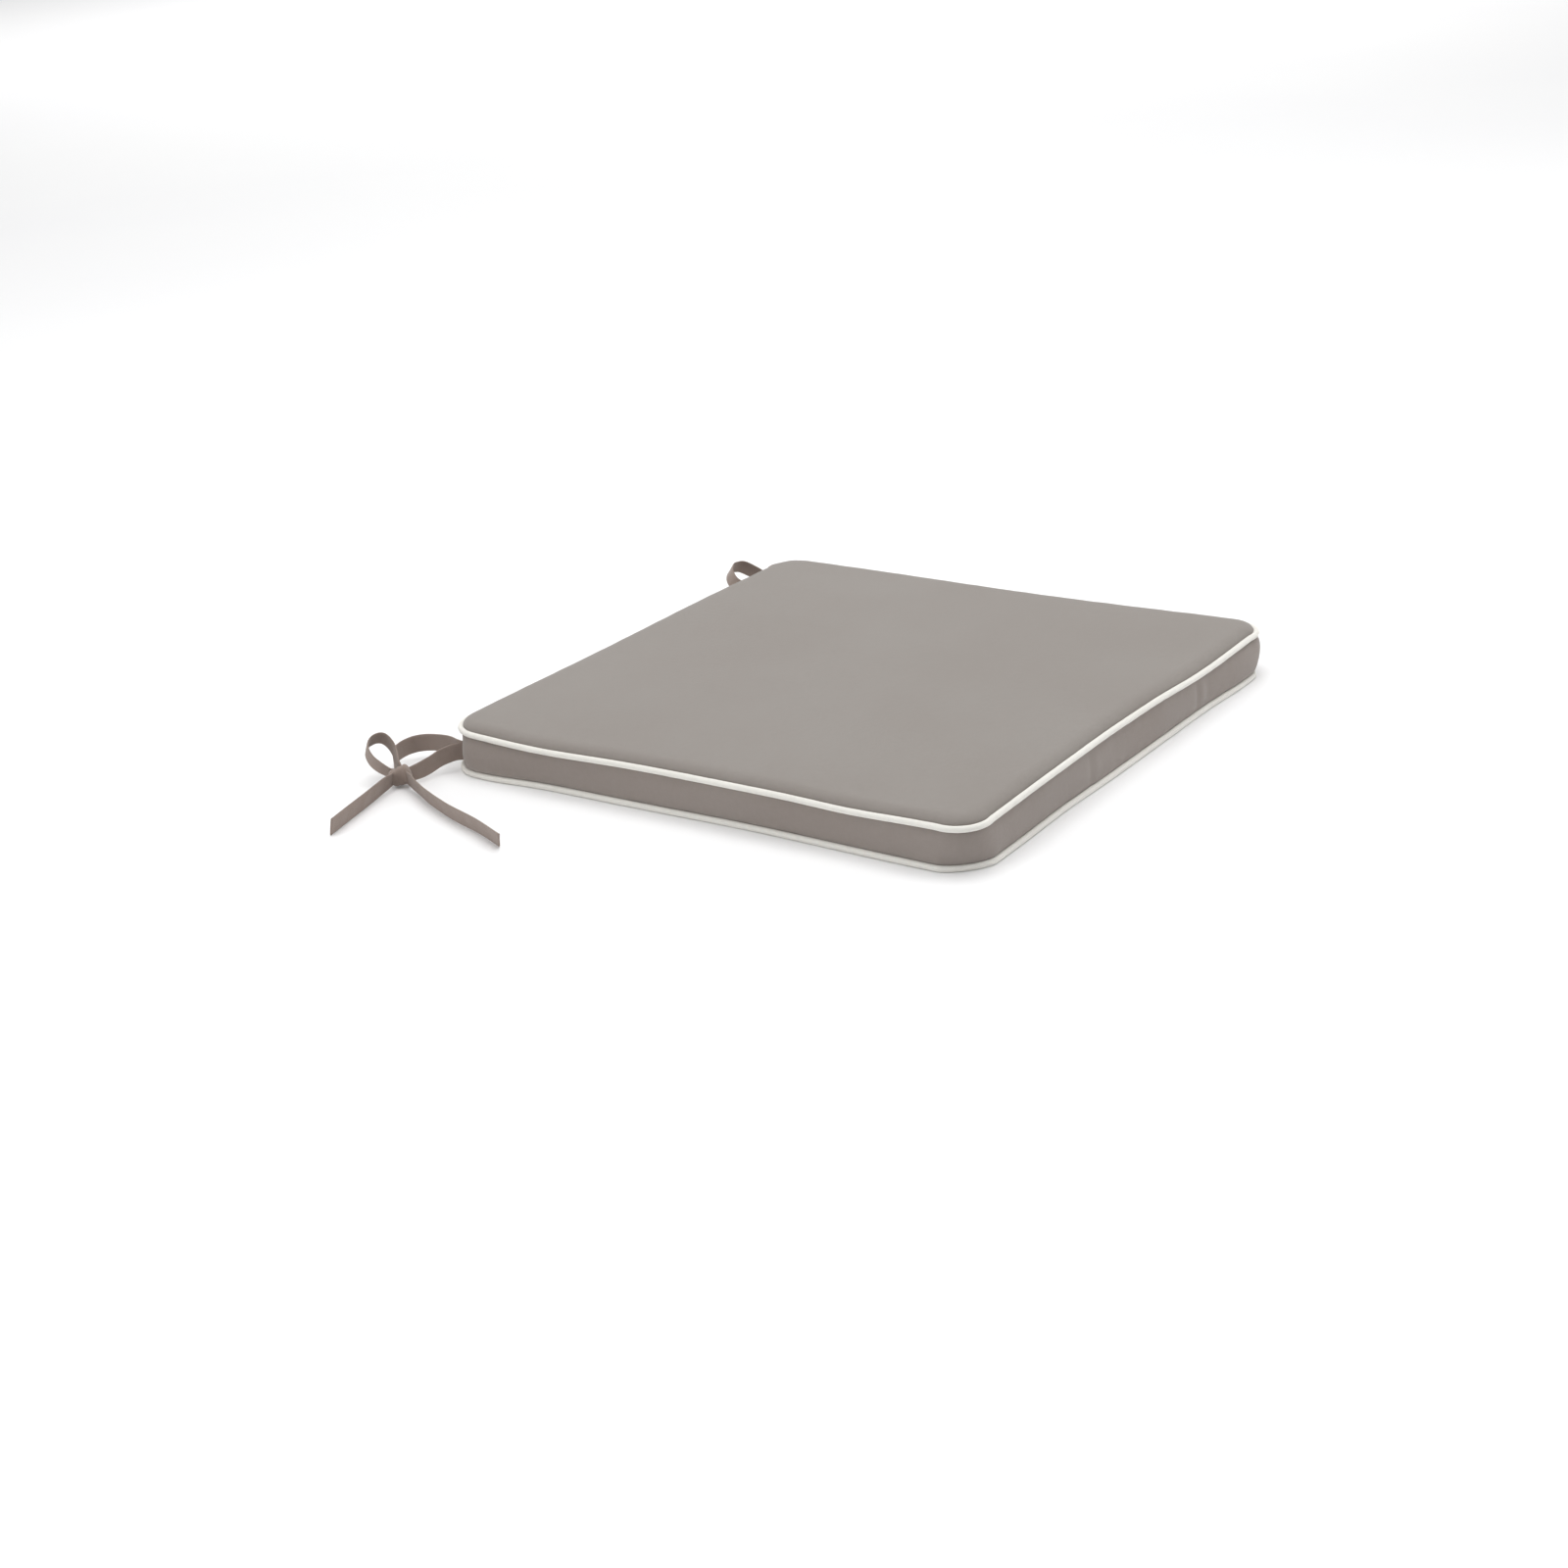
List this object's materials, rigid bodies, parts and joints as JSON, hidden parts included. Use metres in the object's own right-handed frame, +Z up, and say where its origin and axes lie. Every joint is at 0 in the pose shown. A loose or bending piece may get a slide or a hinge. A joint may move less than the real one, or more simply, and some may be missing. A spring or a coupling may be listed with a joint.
{
  "type": "chair seat pad",
  "caption": "Thin square boxed seat pad with contrast piping along both seams, a rear zip and flat tie tapes that bow round a chair's rear posts.",
  "frame": {"origin": "centre of the underside, on the surface that the pad lies on", "axes": "+Z up, the pad's front towards -Y, and +X to the right as seen from the front"},
  "size_m": [0.6133, 0.4832, 0.0392],
  "materials": {
    "top_cloth": "matte",
    "base_cloth": "matte",
    "band_cloth": "matte",
    "piping_cloth": "matte",
    "piping_cord": "matte",
    "foam": "matte",
    "wadding": "matte",
    "zip_tape": "matte",
    "zip_coil": "satin",
    "zip_metal": "satin",
    "tie_tape": "matte"
  },
  "bodies": {
    "cover": {"top_panel": "top_cloth", "bottom_panel": "base_cloth", "side_band": "band_cloth", "rear_band_upper": "band_cloth", "rear_band_lower": "band_cloth", "top_piping_cover": "piping_cloth", "top_piping_cord": "piping_cord", "bottom_piping_cover": "piping_cloth", "bottom_piping_cord": "piping_cord", "foam_core": "foam", "wadding_top": "wadding", "wadding_bottom": "wadding", "zip_tape_upper": "zip_tape", "zip_tape_lower": "zip_tape", "zip_coil_upper": "zip_coil", "zip_coil_lower": "zip_coil", "zip_top_stops": "zip_metal", "zip_bottom_stop": "zip_metal", "left_tie_front": "tie_tape", "left_tie_back": "tie_tape", "right_tie_inner": "tie_tape", "right_tie_outer": "tie_tape"},
    "slider": {"zip_slider": "zip_metal"},
    "pull_tab": {"zip_pull_tab": "zip_metal"}
  },
  "joints": [
    {"name": "zip_slide", "type": "slide", "parent": "cover", "child": "slider", "axis": [1, 0, 0], "range_m": [0, 0.325]},
    {"name": "tab_swing", "type": "hinge", "parent": "slider", "child": "pull_tab", "pos_m": [-0.1625, 0.216, 0.0165], "axis": [0, 0, 1], "range_deg": [0, 175]}
  ]
}
